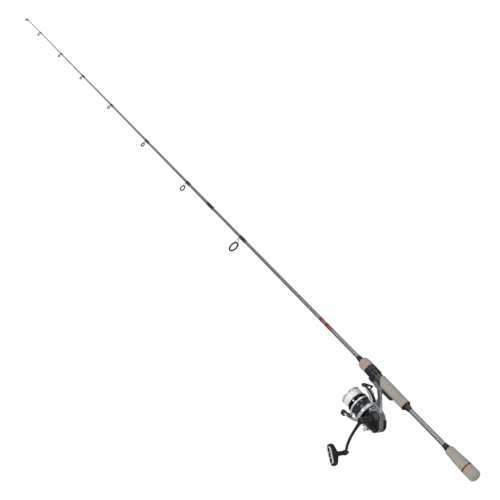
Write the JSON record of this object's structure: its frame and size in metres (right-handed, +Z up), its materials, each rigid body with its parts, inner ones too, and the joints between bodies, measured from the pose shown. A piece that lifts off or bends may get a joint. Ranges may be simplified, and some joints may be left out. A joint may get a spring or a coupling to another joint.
{
  "type": "spinning rod with fixed-spool reel",
  "caption": "Slim tapered two-piece fishing rod with ring guides, split foam grips and a clamped fixed-spool reel with folding bail wire, crank and paddle knob.",
  "frame": {"origin": "centre of the butt end face, on the rod's axis", "axes": "+X along the rod from butt to tip, +Z up away from the reel, +Y to the left where the crank handle is"},
  "size_m": [1.9808, 0.1737, 0.1844],
  "materials": {
    "blank": "clear-coated graphite blank",
    "black_rubber": "moulded butt cap",
    "copper": "anodised copper-orange",
    "foam": "closed-cell foam grip",
    "black_plastic": "satin moulded",
    "seat_plastic": "graphite-filled seat",
    "accent": "painted band under clear coat",
    "guide_metal": "dark plated guide frame",
    "ceramic": "polished ceramic ring",
    "thread": "thread wrap under epoxy",
    "body_grey": "metallic grey paint",
    "body_black": "satin black",
    "steel": "machined",
    "brass": "cut gear",
    "silver": "bright anodised",
    "rotor_dark": "gloss dark metallic",
    "line": "wound monofilament",
    "washer": "oiled felt and steel washers",
    "white_plastic": "acetal gear",
    "spool_metal": "anodised dark"
  },
  "bodies": {
    "rod_butt": {"butt_blank": "blank", "butt_cap": "black_rubber", "trim_rings": "copper", "rear_grip": "foam", "winding_checks": "black_plastic", "reel_seat": "seat_plastic", "seat_grip": "foam", "accent_bands": "accent", "stripper_frame": "guide_metal", "stripper_ring": "ceramic", "stripper_wraps": "thread", "reel_body": "body_grey", "side_cover": "body_black", "rear_cap": "body_black", "cover_screws": "steel", "pinion_bearing": "steel", "drive_bearings": "steel", "one_way_clutch": "steel"},
    "tip_section": {"tip_blank": "blank", "ferrule_wrap": "thread", "guide_frame_2": "guide_metal", "guide_frame_3": "guide_metal", "small_guide_frames": "guide_metal", "guide_rings": "ceramic", "tip_wraps": "thread", "tip_top": "guide_metal", "tip_top_ring": "ceramic"},
    "hood": {"sliding_hood": "black_plastic"},
    "nut": {"lock_nut": "black_plastic", "foregrip": "foam", "foregrip_ring": "copper", "front_collar": "black_plastic"},
    "crank": {"drive_gear": "brass", "handle_collar": "body_black", "crank_arm": "body_black", "knob_pin": "steel", "handle_screw": "steel"},
    "handle_knob": {"knob": "black_rubber", "knob_cap": "silver"},
    "rotor_unit": {"rotor": "rotor_dark", "rotor_trim": "silver", "pinion_gear": "brass", "rotor_nut": "steel", "arm_caps": "body_grey", "bail_spring": "steel"},
    "bail": {"bail_arm": "body_black", "bail_ear": "body_black", "bail_wire": "guide_metal"},
    "roller": {"line_roller": "steel"},
    "shaft_unit": {"main_shaft": "steel", "slider": "steel"},
    "spool_unit": {"spool": "spool_metal", "spool_lip": "guide_metal", "line_pack": "line", "line_clip": "silver", "drag_washers": "washer"},
    "drag": {"drag_knob": "body_black"},
    "osc": {"oscillation_gear": "white_plastic"},
    "lever": {"anti_reverse_lever": "silver"}
  },
  "joints": [
    {"name": "tip_pull", "type": "slide", "parent": "rod_butt", "child": "tip_section", "axis": [1, 0, 0], "range_m": [0, 0.085]},
    {"name": "hood_slide", "type": "slide", "parent": "rod_butt", "child": "hood", "axis": [1, 0, 0], "range_m": [0, 0.0125]},
    {"name": "nut_turn", "type": "hinge", "parent": "hood", "child": "nut", "pos_m": [0.345, 0, 0], "axis": [1, 0, 0], "range_deg": [-2, 1803]},
    {"name": "crank_turn", "type": "hinge", "parent": "rod_butt", "child": "crank", "pos_m": [0.258, 0, -0.074], "axis": [0, 1, 0], "continuous": true},
    {"name": "rotor_turn", "type": "hinge", "parent": "rod_butt", "child": "rotor_unit", "pos_m": [0.3, 0, -0.08], "axis": [1, 0, 0], "continuous": true},
    {"name": "oscillation_turn", "type": "hinge", "parent": "rod_butt", "child": "osc", "pos_m": [0.2458, 0, -0.07715], "axis": [0, 1, 0], "continuous": true},
    {"name": "spool_travel", "type": "slide", "parent": "rod_butt", "child": "shaft_unit", "axis": [1, 0, 0], "range_m": [0, 0.0108]},
    {"name": "spool_slip", "type": "hinge", "parent": "shaft_unit", "child": "spool_unit", "pos_m": [0.33, 0, -0.08], "axis": [1, 0, 0], "continuous": true},
    {"name": "drag_turn", "type": "hinge", "parent": "shaft_unit", "child": "drag", "pos_m": [0.348, 0, -0.08], "axis": [1, 0, 0], "range_deg": [-360, 360]},
    {"name": "bail_flip", "type": "hinge", "parent": "rotor_unit", "child": "bail", "pos_m": [0.329, 0, -0.08], "axis": [0, -0.1392, 0.9903], "range_deg": [0, 120]},
    {"name": "roller_turn", "type": "hinge", "parent": "bail", "child": "roller", "pos_m": [0.32466, -0.02438, -0.08343], "axis": [0, -0.1392, 0.9903], "continuous": true},
    {"name": "knob_turn", "type": "hinge", "parent": "crank", "child": "handle_knob", "pos_m": [0.2445, 0.08, -0.154], "axis": [0, 1, 0], "continuous": true},
    {"name": "lever_swing", "type": "hinge", "parent": "rod_butt", "child": "lever", "pos_m": [0.267, 0, -0.1066], "axis": [1, 0, 0], "range_deg": [-35, 35]}
  ],
  "couplings": [
    {"joint": "rotor_turn", "follows": "crank_turn", "ratio": 4},
    {"joint": "oscillation_turn", "follows": "crank_turn", "ratio": -0.61538},
    {"joint": "nut_turn", "follows": "hood_slide", "rad_per_m": 2513.3}
  ]
}
